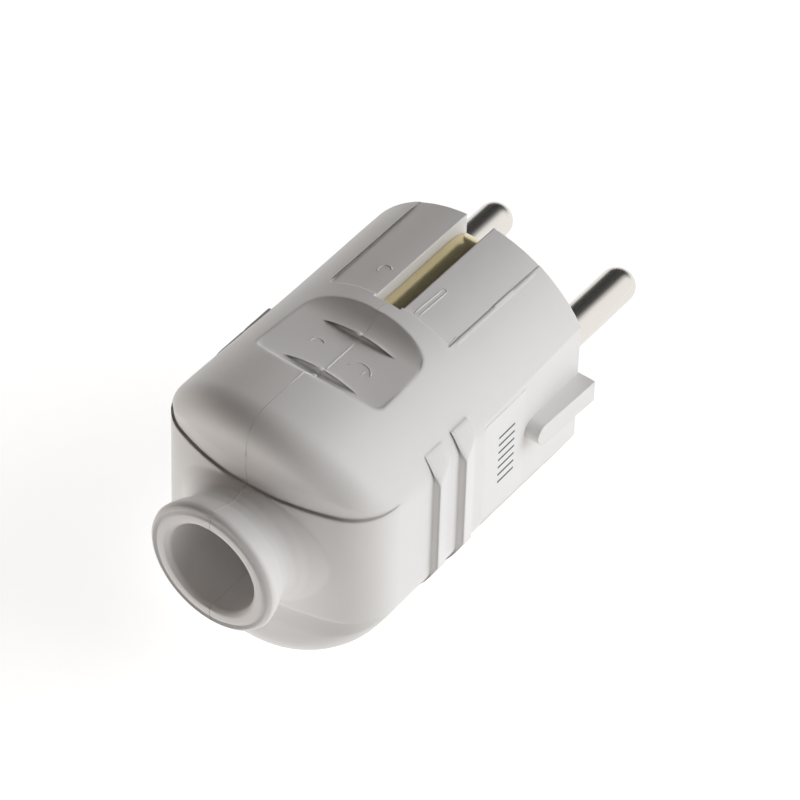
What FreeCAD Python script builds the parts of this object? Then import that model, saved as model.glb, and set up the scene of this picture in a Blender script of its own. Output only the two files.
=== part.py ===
import FreeCAD, Part
import math
import os
import Sketcher

# Rewirable two-pole earthed plug, moulded as a left and a right half shell.
# Frame: origin at the centre of the front face, between the pins. +Y is the way
# the pins go in, +X runs from pin to pin, +Z runs from earth contact to earth contact.

doc = FreeCAD.newDocument("EarthedPlug")
sheet = doc.addObject("Spreadsheet::Sheet", "Sizes")

SIZES = {
    # Outside of the body
    "face_radius": 18.15,
    "crown_front_back": 9.0,
    "crown_front_top": 18.3,
    "crown_front_radius": 18.08,
    "crown_mid_back": 18.3,
    "crown_mid_top": 18.45,
    "crown_mid_radius": 18.0,
    "crown_peak_back": 35.0,
    "crown_peak_top": 19.25,
    "crown_end_back": 49.0,
    "crown_end_top": 18.6,
    "crown_radius": 17.75,
    "side_half_width": 16.35,
    "body_length": 45.9,
    "rear_bow_radius": 33.0,
    "rear_corner_radius": 7.0,
    "shoulder_round": 4.0,
    "seam_gap": 0.06,
    # Shallow strip beside the earth contacts
    "strip_radius": 19.0,
    "strip_front_top": 17.92,
    "strip_rear_top": 18.05,
    "strip_half_width": 9.0,
    "strip_length": 18.3,
    # Side flats and guide rails
    "flat_front_x": 15.57,
    "flat_rear_x": 15.98,
    "flat_front_height": 9.35,
    "flat_rear_height": 8.55,
    "flat_length": 20.3,
    "rail_half_height": 1.6,
    "rail_length": 11.2,
    "rail_front_x": 18.15,
    "rail_rear_x": 17.75,
    # Grip ribs on the sides
    "grip_height": 0.85,
    "grip_rise": 0.3,
    "grip_run": 2.9,
    "grip_rear": 30.7,
    "grip_pitch": 5.15,
    "grip_half_height": 11.0,
    "grip_outer_radius": 18.6,
    # Crease round the back
    "crease_height": 8.8,
    "crease_depth": 0.35,
    "crease_rise": 3.0,
    "crease_offset": 0.14,
    "crease_fade": 0.17,
    "crease_fade_length": 5.0,
    # Finger recesses
    "recess_floor": 16.3,
    "recess_half_width": 9.2,
    "recess_front": 22.0,
    "recess_rear": 32.3,
    "recess_front_corner": 3.2,
    "recess_rear_corner": 1.0,
    "recess_slope": 0.9,
    "recess_scoop_radius": 3.3,
    "recess_scoop_back": 23.8,
    "recess_height": 4.0,
    "recess_rib_height": 1.0,
    "recess_rib_half_length": 5.4,
    "recess_rib_run": 1.0,
    "recess_rib_rear": 31.7,
    "recess_rib_pitch": 7.5,
    # Cable collar
    "bore_radius": 6.35,
    "mouth_bevel": 0.5,
    "neck_radius": 8.0,
    "neck_back": 48.0,
    "neck_low_radius": 8.3,
    "neck_low_back": 47.0,
    "neck_foot_radius": 9.2,
    "neck_foot_back": 45.7,
    "neck_root_radius": 11.3,
    "neck_root_back": 43.9,
    "flare_radius": 8.15,
    "flare_back": 49.1,
    "flare_swell": 7.0,
    "lip_radius": 9.26,
    "lip_back": 51.9,
    "lip_mid_radius": 9.08,
    "lip_mid_back": 52.43,
    "lip_face_radius": 8.62,
    "mouth_back": 52.75,
    "ring_groove_radius": 8.3,
    "ring_groove_depth": 0.3,
    # Earth contact channels
    "channel_width": 4.0,
    "channel_rear": 18.8,
    "tunnel_rear": 22.1,
    "tunnel_roof": 16.25,
    "nose_pocket_floor": 13.7,
    "nose_pocket_length": 3.4,
    # Inside of the shells
    "front_wall": 3.5,
    "cavity_radius": 15.9,
    "cavity_half_width": 13.4,
    "cavity_half_height": 13.3,
    "cavity_rear": 42.0,
    "cavity_corner": 4.2,
    "pin_hole_clear": 0.1,
    # Pins
    "pin_spacing": 19.0,
    "pin_radius": 2.4,
    "pin_length": 19.0,
    "pin_seat_step": 0.3,
    "flange_radius": 3.7,
    "flange_thickness": 1.5,
    "barrel_radius": 3.4,
    "barrel_rear": 17.5,
    "wire_bore_radius": 1.7,
    "wire_bore_depth": 8.0,
    "terminal_screw_back": 13.5,
    "terminal_screw_radius": 1.7,
    "terminal_head_radius": 2.75,
    "terminal_head_height": 2.2,
    "terminal_head_lift": 0.9,
    "terminal_screw_tip": 0.9,
    "thread_clear": 0.04,
    "screw_slot_width": 0.9,
    "screw_slot_depth": 1.0,
    # Pin carrier
    "carrier_thickness": 4.2,
    "carrier_half_height": 8.0,
    "carrier_corner": 1.5,
    "carrier_clear": 0.2,
    "barrel_clear": 0.1,
    "barrier_inner": 3.6,
    "barrier_thickness": 1.4,
    "barrier_rear": 24.2,
    "barrier_half_height": 7.4,
    "carrier_stop_depth": 1.8,
    "carrier_stop_width": 1.6,
    "carrier_stop_low": 5.0,
    # Earth bracket and its screw
    "contact_top": 15.9,
    "strip_thickness": 0.8,
    "contact_width": 3.8,
    "contact_nose_radius": 5.0,
    "contact_nose_start": 3.3,
    "contact_bend": 1.2,
    "web_rear": 21.4,
    "web_pad_half_width": 3.2,
    "web_pad_half_height": 5.5,
    "earth_screw_radius": 2.0,
    "earth_head_radius": 3.1,
    "earth_head_height": 2.3,
    "earth_plate_half_width": 3.3,
    "earth_plate_thickness": 0.9,
    "earth_nut_thickness": 2.8,
    "earth_screw_reach": 16.6,
    # Cord clamp
    "clamp_back": 37.0,
    "clamp_boss_radius": 3.0,
    "clamp_bar_width": 6.5,
    "clamp_bar_thickness": 1.5,
    "clamp_bar_end": 2.6,
    "clamp_bow_radius": 5.4,
    "clamp_bow_offset": 1.4,
    "clamp_screw_radius": 1.45,
    "clamp_hole_clear": 0.15,
    "clamp_head_radius": 2.5,
    "clamp_head_clear": 0.24,
    "clamp_head_height": 2.0,
    "clamp_screw_reach": 8.5,
    "trough_radius": 5.0,
    "trough_rib_thickness": 1.4,
    "trough_rib_spacing": 6.0,
    "trough_edge": 3.6,
    "trough_half_height": 6.2,
    # Housing screw
    "housing_back": 29.6,
    "housing_boss_radius": 3.4,
    "housing_sleeve_radius": 4.6,
    "housing_sleeve_floor": 1.6,
    "housing_screw_radius": 1.7,
    "housing_hole_clear": 0.25,
    "housing_head_radius": 3.1,
    "housing_head_height": 2.4,
    "housing_seat": 8.4,
    "counterbore_clear": 0.3,
    "housing_screw_reach": 9.6,
    "pilot_end_clear": 0.6,
    # Locating pegs
    "peg_radius": 1.1,
    "peg_root": 3.0,
    "peg_reach": 2.0,
    "peg_back": 39.6,
    "peg_spacing": 31.8,
    "front_peg_radius": 0.8,
    "front_peg_back": 1.75,
    "front_peg_spacing": 16.0,
    "peg_clear": 0.1,
    # Side sticker
    "sticker_thickness": 0.1,
    "sticker_rear": 20.0,
    "sticker_front": 11.6,
    "sticker_half_height": 7.9,
}

for row, (alias, value) in enumerate(SIZES.items(), start=1):
    sheet.set(f"A{row}", alias)
    sheet.set(f"B{row}", str(value))
    sheet.setAlias(f"B{row}", alias)
doc.recompute()

# How far a tool stands out of what it cuts, how far an inner part reaches into a wall,
# and a height above everything.
SPARE = 2.0
ROOT = 1.0
TALL = 24.0


class Size:
    """A value worked out from the sheet, with the words that bind it there."""

    def __init__(self, value, words):
        self.value = float(value)
        self.words = words

    def __add__(self, other):
        other = as_size(other)
        return Size(self.value + other.value, f"({self.words} + {other.words})")

    def __sub__(self, other):
        other = as_size(other)
        return Size(self.value - other.value, f"({self.words} - {other.words})")

    def __mul__(self, other):
        other = as_size(other)
        return Size(self.value * other.value, f"({self.words} * {other.words})")

    def __truediv__(self, other):
        other = as_size(other)
        return Size(self.value / other.value, f"({self.words} / {other.words})")

    def __neg__(self):
        return Size(-self.value, f"(-1 * {self.words})")


def as_size(number):
    return number if isinstance(number, Size) else Size(number, f"({number})")


def size(alias):
    return Size(sheet.get(alias), f"Sizes.{alias}")


def root(area):
    return Size(math.sqrt(area.value), f"sqrt({area.words})")


def leg(long_side, short_side):
    """Third side of a right triangle: where an arc meets a line beside its centre."""
    return root(long_side * long_side - short_side * short_side)


def bind(item, name, length):
    length = as_size(length)
    item.setExpression(name, length.words)


def place(item, x=0, y=0, z=0):
    """Bind the place of a finished sub-part to the sheet."""
    for axis, value in (("x", x), ("y", y), ("z", z)):
        if as_size(value).value != 0:
            bind(item, f"Placement.Base.{axis}", value)


# Sketch helpers

PLANE_TURN = {
    "XY_Plane": FreeCAD.Rotation(0, 0, 0),
    "XZ_Plane": FreeCAD.Rotation(0, 0, 90),
    "YZ_Plane": FreeCAD.Rotation(90, 0, 90),
}
PLANE_NORMAL = {"XY_Plane": ("z", 1), "XZ_Plane": ("y", -1), "YZ_Plane": ("x", 1)}


def free_sketch(name, role, offset=0):
    """A sketch of its own, on the plane that lies offset along its normal axis."""
    sketch = doc.addObject("Sketcher::SketchObject", name)
    offset = as_size(offset)
    axis, _ = PLANE_NORMAL[role]
    base = FreeCAD.Vector(0, 0, 0)
    setattr(base, axis, offset.value)
    sketch.Placement = FreeCAD.Placement(base, PLANE_TURN[role])
    if offset.value != 0:
        bind(sketch, f"Placement.Base.{axis}", offset)
    return sketch


def body_sketch(body, name, role, offset=0):
    """A sketch on an origin plane of the body, moved by offset along X, Y or Z."""
    sketch = body.newObject("Sketcher::SketchObject", name)
    plane = next(item for item in body.Origin.OriginFeatures if item.Role == role)
    sketch.AttachmentSupport = (plane, [""])
    sketch.MapMode = "FlatFace"
    offset = as_size(offset)
    if offset.value != 0:
        bind(sketch, "AttachmentOffset.Base.z", offset * PLANE_NORMAL[role][1])
    return sketch


def hold_point(sketch, edge, end, x, y):
    for kind, value in (("DistanceX", as_size(x)), ("DistanceY", as_size(y))):
        index = sketch.addConstraint(Sketcher.Constraint(kind, -1, 1, edge, end, value.value))
        if value.value != 0:
            bind(sketch, f"Constraints[{index}]", value)


def hold_radius(sketch, edge, radius):
    radius = as_size(radius)
    index = sketch.addConstraint(Sketcher.Constraint("Radius", edge, radius.value))
    bind(sketch, f"Constraints[{index}]", radius)


def arc_between(start, end, radius, side):
    """Short arc from start to end that turns to the left or to the right."""
    chord = end - start
    across = FreeCAD.Vector(-chord.y, chord.x, 0).normalize()
    rise = math.sqrt(radius * radius - chord.Length * chord.Length / 4)
    centre = start + chord * 0.5 + across * (rise if side == "left" else -rise)
    first, last = (start, end) if side == "left" else (end, start)
    angles = [math.atan2(point.y - centre.y, point.x - centre.x) for point in (first, last)]
    circle = Part.Circle(centre, FreeCAD.Vector(0, 0, 1), radius)
    return Part.ArcOfCircle(circle, angles[0], angles[1])


def draw_outline(sketch, corners):
    """Closed outline. A corner is (x, y), or (x, y, radius, side) where an arc leads to it."""
    points = [FreeCAD.Vector(as_size(c[0]).value, as_size(c[1]).value, 0) for c in corners]
    tails = []
    heads = []
    for number, corner in enumerate(corners):
        start, end = points[number - 1], points[number]
        if len(corner) == 2:
            edge = sketch.addGeometry(Part.LineSegment(start, end), False)
            ends = (1, 2)
        else:
            radius, side = as_size(corner[2]), corner[3]
            edge = sketch.addGeometry(arc_between(start, end, radius.value, side), False)
            ends = (1, 2) if side == "left" else (2, 1)
            hold_radius(sketch, edge, radius)
        tails.append((edge, ends[0]))
        heads.append((edge, ends[1]))
    for number, corner in enumerate(corners):
        tail = tails[(number + 1) % len(corners)]
        sketch.addConstraint(Sketcher.Constraint("Coincident", *heads[number], *tail))
        hold_point(sketch, heads[number][0], heads[number][1], corner[0], corner[1])
    return sketch


def draw_rectangle(sketch, x_low, x_high, y_low, y_high):
    return draw_outline(sketch, [(x_high, y_low), (x_high, y_high), (x_low, y_high), (x_low, y_low)])


def draw_circle(sketch, x, y, radius):
    centre = FreeCAD.Vector(as_size(x).value, as_size(y).value, 0)
    circle = Part.Circle(centre, FreeCAD.Vector(0, 0, 1), as_size(radius).value)
    edge = sketch.addGeometry(circle, False)
    hold_point(sketch, edge, 3, x, y)
    hold_radius(sketch, edge, radius)
    return sketch


# Solids from free sketches, for the two shells

def extrude(name, sketch, direction, forward, backward=0):
    solid = doc.addObject("Part::Extrusion", name)
    solid.Base = sketch
    solid.DirMode = "Custom"
    solid.Dir = FreeCAD.Vector(*direction)
    solid.Solid = True
    bind(solid, "LengthFwd", forward)
    bind(solid, "LengthRev", backward)
    return solid


def turn_about_y(name, sketch):
    solid = doc.addObject("Part::Revolution", name)
    solid.Source = sketch
    solid.Axis = FreeCAD.Vector(0, 1, 0)
    solid.Base = FreeCAD.Vector(0, 0, 0)
    solid.Angle = 360
    solid.Solid = True
    return solid


def rod(name, radius, x_from, x_to, y, z):
    """Round bar along X, for bosses and their holes."""
    bar = doc.addObject("Part::Cylinder", name)
    bar.Placement = FreeCAD.Placement(FreeCAD.Vector(0, 0, 0), FreeCAD.Rotation(FreeCAD.Vector(0, 1, 0), 90))
    bind(bar, "Radius", radius)
    bind(bar, "Height", as_size(x_to) - x_from)
    place(bar, x_from, y, z)
    return bar


def column(name, radius, back, x=0):
    """Round bar along Y, from just in front of the face to the given distance behind it."""
    bar = doc.addObject("Part::Cylinder", name)
    bar.Placement = FreeCAD.Placement(FreeCAD.Vector(0, 0, 0), FreeCAD.Rotation(FreeCAD.Vector(1, 0, 0), 90))
    bind(bar, "Radius", radius)
    bind(bar, "Height", back + SPARE)
    place(bar, x, SPARE, 0)
    return bar


def block(name, x_low, x_high, y_low, y_high, z_low, z_high):
    box = doc.addObject("Part::Box", name)
    bind(box, "Length", as_size(x_high) - x_low)
    bind(box, "Width", as_size(y_high) - y_low)
    bind(box, "Height", as_size(z_high) - z_low)
    place(box, x_low, y_low, z_low)
    return box


def join(name, items):
    whole = doc.addObject("Part::MultiFuse", name)
    whole.Shapes = items
    whole.Refine = True
    return whole


def shared(name, items):
    overlap = doc.addObject("Part::MultiCommon", name)
    overlap.Shapes = items
    overlap.Refine = True
    return overlap


def cut(name, base, tool):
    rest = doc.addObject("Part::Cut", name)
    rest.Base = base
    rest.Tool = tool
    rest.Refine = True
    return rest


def mirrored(name, source, normal):
    copy = doc.addObject("Part::Mirroring", name)
    copy.Source = source
    copy.Normal = FreeCAD.Vector(*normal)
    return copy


def round_edges(name, base, radius, wanted):
    """Fillet the edges of base whose bounding box passes the wanted test."""
    doc.recompute()
    fillet = doc.addObject("Part::Fillet", name)
    fillet.Base = base
    radius = as_size(radius)
    edges = [n for n, edge in enumerate(base.Shape.Edges, start=1) if wanted(edge.BoundBox)]
    fillet.Edges = [(n, radius.value, radius.value) for n in edges]
    return fillet


# Features of a body

def pad(body, name, sketch, length, both_ways=False, reverse=False):
    feature = body.newObject("PartDesign::Pad", name)
    feature.Profile = sketch
    feature.SideType = "Symmetric" if both_ways else "One side"
    feature.Reversed = reverse
    bind(feature, "Length", length)
    return feature


def pocket(body, name, sketch, length=None, both_ways=False, reverse=False):
    feature = body.newObject("PartDesign::Pocket", name)
    feature.Profile = sketch
    feature.SideType = "Symmetric" if both_ways else "One side"
    feature.Reversed = reverse
    if length is None:
        feature.Type = "ThroughAll"
    else:
        bind(feature, "Length", length)
    return feature


def revolve(body, name, sketch, axis="V_Axis"):
    feature = body.newObject("PartDesign::Revolution", name)
    feature.Profile = sketch
    feature.ReferenceAxis = (sketch, [axis])
    feature.Angle = 360
    return feature


def new_body(label):
    body = doc.addObject("PartDesign::Body", label)
    body.Label = label
    return body


# Outside of the two shells, still in one piece

def flat_x(back):
    """The side flats spread a little towards the rear."""
    slope = (size("flat_rear_x") - size("flat_front_x")) / size("flat_length")
    return size("flat_front_x") + slope * back


def crown_section(name, back, top, radius):
    """Upper part of the round cross-section, standing on the middle plane."""
    sketch = free_sketch(name, "XZ_Plane", -as_size(back))
    reach = leg(radius, top - radius)
    return draw_outline(sketch, [(reach, 0), (0, top, radius, "left"), (-reach, 0, radius, "left")])


def smooth_block():
    """Crowned block with a bowed rear wall and a rounded shoulder, above and below alike."""
    side = size("side_half_width")
    bow = size("rear_bow_radius")
    corner = size("rear_corner_radius")
    bow_centre = bow - size("body_length")
    corner_x = side - corner
    drop = leg(bow - corner, corner_x)
    share = bow / (bow - corner)
    corner_y = bow_centre - drop
    touch = (corner_x * share, bow_centre - drop * share)
    plan = draw_outline(free_sketch("body_plan", "XY_Plane"), [
        (side, 0),
        (-side, 0),
        (-side, corner_y),
        (-touch[0], touch[1], corner, "left"),
        (touch[0], touch[1], bow, "left"),
        (side, corner_y, corner, "left"),
    ])
    prism = extrude("body_prism", plan, (0, 0, 1), TALL)
    crown = doc.addObject("Part::Loft", "body_crown")
    crown.Sections = [
        crown_section("crown_face", 0, size("face_radius"), size("face_radius")),
        crown_section("crown_front", size("crown_front_back"), size("crown_front_top"),
                      size("crown_front_radius")),
        crown_section("crown_mid", size("crown_mid_back"), size("crown_mid_top"), size("crown_mid_radius")),
        crown_section("crown_peak", size("crown_peak_back"), size("crown_peak_top"), size("crown_radius")),
        crown_section("crown_end", size("crown_end_back"), size("crown_end_top"), size("crown_radius")),
    ]
    crown.Solid = True
    upper = shared("upper_sharp", [prism, crown])

    def on_shoulder(box):
        around = box.XLength > 2 and box.YLength > 1.5 and box.ZMin > 6
        along = box.XLength < 0.1 and box.YLength > 20 and box.ZMin > 6
        return (around or along) and box.YMax < 0.1 and box.YMin < -30

    shoulder = round_edges("upper_half", upper, size("shoulder_round"), on_shoulder)
    lower = mirrored("lower_half", shoulder, (0, 0, 1))
    return join("body_block", [shoulder, lower]), (corner_x, corner_y, bow_centre, drop)


def both_ends(name, tool):
    """A tool and its twin on the underside."""
    return [tool, mirrored(f"{name}_below", tool, (0, 0, 1))]


def both_sides(name, tool):
    """A tool and its twin on the left."""
    return [tool, mirrored(f"{name}_left", tool, (1, 0, 0))]


def crease_tools(layout):
    """Cuts that leave a low band round the back, with a ledge at its upper and lower edge.

    Each quarter runs off the body past the rear corner."""
    corner_x, corner_y, bow_centre, drop = layout
    bow = size("rear_bow_radius") + size("crease_offset")
    corner = size("rear_corner_radius") + size("crease_offset")
    share = bow / (bow - corner)
    touch = (corner_x * share, bow_centre - drop * share)
    fade = size("crease_fade")
    run = leg(as_size(1), fade)
    leave = (corner_x + corner * run, corner_y - corner * fade)
    reach = size("crease_fade_length")
    path = free_sketch("crease_path", "XY_Plane", size("crease_height"))
    start = (as_size(0), bow_centre - bow)
    end = (leave[0] + fade * reach, leave[1] + run * reach)
    points = [FreeCAD.Vector(x.value, y.value, 0) for x, y in (start, touch, leave, end)]
    edges = [
        path.addGeometry(arc_between(points[0], points[1], bow.value, "left"), False),
        path.addGeometry(arc_between(points[1], points[2], corner.value, "left"), False),
        path.addGeometry(Part.LineSegment(points[2], points[3]), False),
    ]
    hold_radius(path, edges[0], bow)
    hold_radius(path, edges[1], corner)
    for first, second in zip(edges, edges[1:]):
        path.addConstraint(Sketcher.Constraint("Coincident", first, 2, second, 1))
    hold_point(path, edges[0], 1, *start)
    for edge, point in zip(edges, (touch, leave, end)):
        hold_point(path, edge, 2, *point)
    ledge, height = size("crease_height"), size("crease_rise") * 2
    inside = start[1] + size("crease_offset") + size("crease_depth")
    outside = inside - size("crease_depth") * 2
    section = draw_outline(free_sketch("crease_section", "YZ_Plane"), [
        (outside, ledge),
        (inside, ledge),
        (outside, ledge + height),
    ])
    doc.recompute()
    valley = doc.addObject("Part::Sweep", "crease")
    valley.Sections = [section]
    valley.Spine = (path, ["Edge1", "Edge2", "Edge3"])
    valley.Solid = True
    valley.Frenet = False
    right = both_ends("crease", valley)
    return right + [mirrored(f"crease_left_{n}", tool, (1, 0, 0)) for n, tool in enumerate(right)]


def collar_parts():
    """Flared cable collar, turned about the cable axis."""
    profile = draw_outline(free_sketch("collar_profile", "XY_Plane"), [
        (0, -(size("mouth_back"))),
        (size("lip_face_radius"), -(size("mouth_back"))),
        (size("lip_mid_radius"), -(size("lip_mid_back"))),
        (size("lip_radius"), -(size("lip_back"))),
        (size("flare_radius"), -(size("flare_back")), size("flare_swell"), "left"),
        (size("neck_radius"), -(size("neck_back"))),
        (size("neck_low_radius"), -(size("neck_low_back"))),
        (size("neck_foot_radius"), -(size("neck_foot_back"))),
        (size("neck_root_radius"), -(size("neck_root_back"))),
        (0, -(size("neck_root_back"))),
    ])
    collar = turn_about_y("collar", profile)
    ring, depth, face = size("ring_groove_radius"), size("ring_groove_depth"), -(size("mouth_back"))
    groove_line = draw_outline(free_sketch("ring_groove_line", "XY_Plane"), [
        (ring - depth, face),
        (ring, face - depth),
        (ring + depth, face),
        (ring, face + depth),
    ])
    groove = turn_about_y("ring_groove", groove_line)
    bevel = size("mouth_bevel")
    mouth = size("bore_radius") + bevel
    bore_line = draw_outline(free_sketch("bore_line", "XY_Plane"), [
        (0, face - SPARE),
        (mouth + SPARE, face - SPARE),
        (size("bore_radius"), face + bevel),
        (size("bore_radius"), -(size("cavity_rear") - SPARE)),
        (0, -(size("cavity_rear") - SPARE)),
    ])
    return collar, groove, turn_about_y("bore", bore_line)


def flat_tools():
    """Flats on both sides of the front, for the guides of a recessed outlet."""
    plan = draw_outline(free_sketch("flat_plan", "XY_Plane"), [
        (flat_x(-SPARE), SPARE),
        (flat_x(size("flat_length")), -(size("flat_length"))),
        (TALL, -(size("flat_length"))),
        (TALL, SPARE),
    ])
    front, rear = size("flat_front_height"), size("flat_rear_height")
    side = draw_outline(free_sketch("flat_side", "YZ_Plane"), [
        (SPARE, -front),
        (SPARE, front),
        (0, front),
        (-(size("flat_length") + SPARE), rear),
        (-(size("flat_length") + SPARE), -rear),
        (0, -front),
    ])
    room = shared("flat_room", [
        extrude("flat_depth", plan, (0, 0, 1), TALL, TALL),
        extrude("flat_height", side, (1, 0, 0), TALL),
    ])
    return both_sides("flat_room", room)


def rail_parts():
    """Guide rails that taper a little towards the rear and end in a half round."""
    rear = size("rail_length")
    height = size("rail_half_height")
    root_x = size("cavity_half_width") + ROOT
    plan = draw_outline(free_sketch("rail_plan", "XY_Plane"), [
        (root_x, 0),
        (root_x, -rear),
        (size("rail_rear_x"), -rear),
        (size("rail_front_x"), 0),
    ])
    side = draw_outline(free_sketch("rail_side", "YZ_Plane"), [
        (0, -height),
        (0, height),
        (height - rear, height),
        (-rear, 0, height, "left"),
        (height - rear, -height, height, "left"),
    ])
    rail = shared("rail", [
        extrude("rail_depth", plan, (0, 0, 1), height, height),
        extrude("rail_height", side, (1, 0, 0), TALL),
    ])
    return both_sides("rail", rail)


def grip_parts():
    """Two sawtooth ribs on each side, steep towards the rear."""
    wall = size("side_half_width")
    root_x = size("cavity_half_width") + ROOT
    teeth = []
    for number in range(2):
        rear = -(size("grip_rear") - size("grip_pitch") * number)
        plan = draw_outline(free_sketch(f"grip_plan_{number}", "XY_Plane"), [
            (root_x, rear),
            (wall, rear),
            (wall + size("grip_height"), rear + size("grip_rise")),
            (wall, rear + size("grip_rise") + size("grip_run")),
            (root_x, rear + size("grip_rise") + size("grip_run")),
        ])
        height = size("grip_half_height")
        teeth.append(extrude(f"grip_tooth_{number}", plan, (0, 0, 1), height, height))
    limit = column("grip_limit", size("grip_outer_radius"), size("body_length"))
    ribs = shared("grip", [join("grip_teeth", teeth), limit])
    return both_sides("grip", ribs)


def recess_outline(name, rise):
    """Outline of the finger recess at a height above its floor; the walls lean outwards."""
    grow = size("recess_slope") * rise
    sketch = free_sketch(name, "XY_Plane", size("recess_floor") + rise)
    x = size("recess_half_width") + grow
    front = grow - size("recess_front")
    rear = -(size("recess_rear") + grow)
    wide = size("recess_front_corner") + grow
    tight = size("recess_rear_corner") + grow
    return draw_outline(sketch, [
        (x, rear + tight, tight, "left"),
        (x, front - wide),
        (x - wide, front, wide, "left"),
        (wide - x, front),
        (-x, front - wide, wide, "left"),
        (-x, rear + tight),
        (tight - x, rear, tight, "left"),
        (x - tight, rear),
    ])


def recess_tools():
    """Room of the finger recess, and the two ribs on its floor that sink towards the front."""
    floor, top = size("recess_floor"), size("recess_height")
    walls = doc.addObject("Part::Loft", "recess_walls")
    walls.Sections = [recess_outline("recess_low", as_size(0)), recess_outline("recess_high", top)]
    walls.Solid = True
    walls.Ruled = True
    scoop, start = size("recess_scoop_radius"), -(size("recess_scoop_back"))
    rear, wide = -(size("recess_rear") * 2), size("side_half_width")
    side = draw_outline(free_sketch("recess_side", "YZ_Plane"), [
        (rear, floor),
        (start, floor),
        (start + scoop, floor + scoop, scoop, "left"),
        (start + scoop, floor + top),
        (rear, floor + top),
    ])
    room = shared("recess_room", [walls, extrude("recess_scoop", side, (1, 0, 0), wide, wide)])
    half = size("recess_rib_half_length")
    height = size("recess_rib_height")
    run = size("recess_rib_run")
    lens_radius = (half * half + height * height) / (height * 2)
    lenses = []
    for number in range(2):
        rear = -(size("recess_rib_rear") - size("recess_rib_pitch") * number)
        lens = draw_outline(free_sketch(f"lens_face_{number}", "XZ_Plane", rear), [
            (-half, floor - ROOT),
            (half, floor - ROOT),
            (half, floor),
            (-half, floor, lens_radius, "left"),
        ])
        sink = (0, run.value, -height.value)
        rib = extrude(f"lens_{number}", lens, sink, root(run * run + height * height))
        bind(rib, "Dir.y", run)
        bind(rib, "Dir.z", -height)
        lenses.append(rib)
    return room, lenses


def channel_tools():
    """Room for one earth strip: open channel, nose pocket and the tunnel to the inside."""
    half = size("channel_width") / 2
    floor = size("contact_top") - size("strip_thickness")
    nose_rear = -(size("nose_pocket_length"))
    rear = -(size("channel_rear"))
    inside = size("cavity_half_height") - ROOT
    return [
        block("channel", -half, half, rear, SPARE, floor, TALL),
        block("nose_pocket", -half, half, nose_rear, SPARE, size("nose_pocket_floor"), TALL),
        block("tunnel", -half, half, -(size("tunnel_rear")), rear + ROOT, inside, size("tunnel_roof")),
    ]


def strip_tool():
    """Shallow strip beside the earth contact, flatter than the body and a little inside it."""
    half = size("strip_half_width")
    bar = block("strip_bar", -half, half, -(size("strip_length")), SPARE, 0, TALL)
    radius, front, rear = size("strip_radius"), size("strip_front_top"), size("strip_rear_top")
    core = doc.addObject("Part::Loft", "strip_core")
    core.Sections = [
        crown_section("strip_start", -SPARE, front, radius),
        crown_section("strip_end", size("strip_length") + SPARE, rear, radius),
    ]
    core.Solid = True
    core.Ruled = True
    return cut("strip_room", bar, core)


def cavity_tool():
    """Inside of the two shells: a rounded box that fits the front cylinder."""
    half = size("cavity_half_width")
    corner = size("cavity_corner")
    rear = -(size("cavity_rear"))
    plan = draw_outline(free_sketch("cavity_plan", "XY_Plane"), [
        (half, rear + corner, corner, "left"),
        (half, -(size("front_wall"))),
        (-half, -(size("front_wall"))),
        (-half, rear + corner),
        (corner - half, rear, corner, "left"),
        (half - corner, rear),
    ])
    tall = size("cavity_half_height")
    bar = extrude("cavity_box", plan, (0, 0, 1), tall, tall)
    return shared("cavity", [bar, column("cavity_round", size("cavity_radius"), size("body_length"))])


def pin_hole(name, x):
    radius = size("pin_radius") + size("pin_seat_step") + size("pin_hole_clear")
    return column(name, radius, size("front_wall") + SPARE, x)


def shell_stock():
    """Both shells in one hollow piece, with everything that is the same left and right."""
    smooth, layout = smooth_block()
    collar, ring_groove, bore = collar_parts()
    grooves = join("creases_and_groove", crease_tools(layout) + [ring_groove])
    with_collar = cut("collared_block", join("block_and_collar", [smooth, collar]), grooves)
    front_rooms = flat_tools() + both_ends("strip_room", strip_tool())
    flattened = cut("flattened_block", with_collar, join("front_rooms", front_rooms))
    gripped = join("gripped_block", [flattened] + rail_parts() + grip_parts())
    recess, lenses = recess_tools()
    tools = both_ends("recess_room", recess)
    for tool in channel_tools():
        tools += both_ends(tool.Name, tool)
    half = size("pin_spacing") / 2
    tools += [pin_hole("pin_hole_right", half), pin_hole("pin_hole_left", -half), cavity_tool(), bore]
    hollow = cut("hollow_block", gripped, join("all_rooms", tools))
    ribs = []
    for lens in lenses:
        ribs += both_ends(lens.Name, lens)
    return join("shell_stock", [hollow] + ribs)


def side_room(name, x_low, x_high):
    """Half space of one shell, short of the middle plane by the seam."""
    return block(name, x_low, x_high, -(size("mouth_back") + SPARE), SPARE, -TALL, TALL)


def carrier_stops(name, side):
    """Ledges behind the pin carrier."""
    wall = size("cavity_half_width")
    inner = wall - size("carrier_stop_width")
    outer = wall + ROOT
    x_low, x_high = (inner, outer) if side > 0 else (-outer, -inner)
    front = -(size("front_wall") + size("flange_thickness") + size("carrier_thickness"))
    rear = front - size("carrier_stop_depth")
    low, high = size("carrier_stop_low"), size("carrier_half_height")
    return [
        block(f"{name}_upper", x_low, x_high, rear, front, low, high),
        block(f"{name}_lower", x_low, x_high, rear, front, -high, -low),
    ]


def peg_places():
    rear = size("peg_spacing") / 2
    front = size("front_peg_spacing") / 2
    return [
        ("rear_upper", size("peg_radius"), -(size("peg_back")), rear),
        ("rear_lower", size("peg_radius"), -(size("peg_back")), -rear),
        ("front_upper", size("front_peg_radius"), -(size("front_peg_back")), front),
        ("front_lower", size("front_peg_radius"), -(size("front_peg_back")), -front),
    ]


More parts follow.
